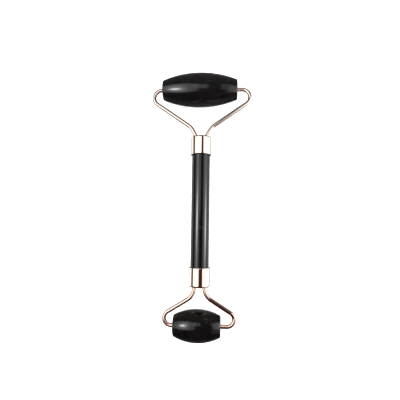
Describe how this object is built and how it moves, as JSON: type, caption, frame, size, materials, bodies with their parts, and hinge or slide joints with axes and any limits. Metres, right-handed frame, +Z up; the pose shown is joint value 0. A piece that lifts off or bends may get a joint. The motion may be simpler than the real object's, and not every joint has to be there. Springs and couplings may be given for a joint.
{
  "type": "face roller",
  "caption": "Double-ended facial massage roller: a slim stone handle with a metal cup on each end, and wire forks that carry a large and a small barrel-shaped stone roller.",
  "frame": {"origin": "on the table, under the middle of the whole tool as it lies on its two rollers", "axes": "+X along both roller axes; +Y along the handle towards the large roller; +Z up from the table, out of the fork plane. The handle is tilted 0.38 degrees about X, its large end up, because the large roller is 1.7 mm thicker than the small one."},
  "size_m": [0.0552, 0.145, 0.0186],
  "materials": {
    "black_stone": "polished, near mirror",
    "rose_gold_cup": "polished rose-gold plate on steel",
    "rose_gold_wire": "polished rose-gold plate on steel wire",
    "cast_glue": "cast epoxy, hidden",
    "black_nylon": "satin moulded nylon"
  },
  "bodies": {
    "frame": {"handle_stone": "black_stone", "large_ferrule": "rose_gold_cup", "small_ferrule": "rose_gold_cup", "large_fork": "rose_gold_wire", "small_fork": "rose_gold_wire", "large_potting": "cast_glue", "small_potting": "cast_glue"},
    "large_roller": {"large_roller_stone": "black_stone", "large_bush_left": "black_nylon", "large_bush_right": "black_nylon"},
    "small_roller": {"small_roller_stone": "black_stone", "small_bush_left": "black_nylon", "small_bush_right": "black_nylon"}
  },
  "joints": [
    {"name": "large_roller_spin", "type": "hinge", "parent": "frame", "child": "large_roller", "pos_m": [0, 0.06322, 0.0093], "axis": [1, 0, 0], "continuous": true},
    {"name": "small_roller_spin", "type": "hinge", "parent": "frame", "child": "small_roller", "pos_m": [0, -0.06407, 0.00845], "axis": [1, 0, 0], "continuous": true}
  ]
}
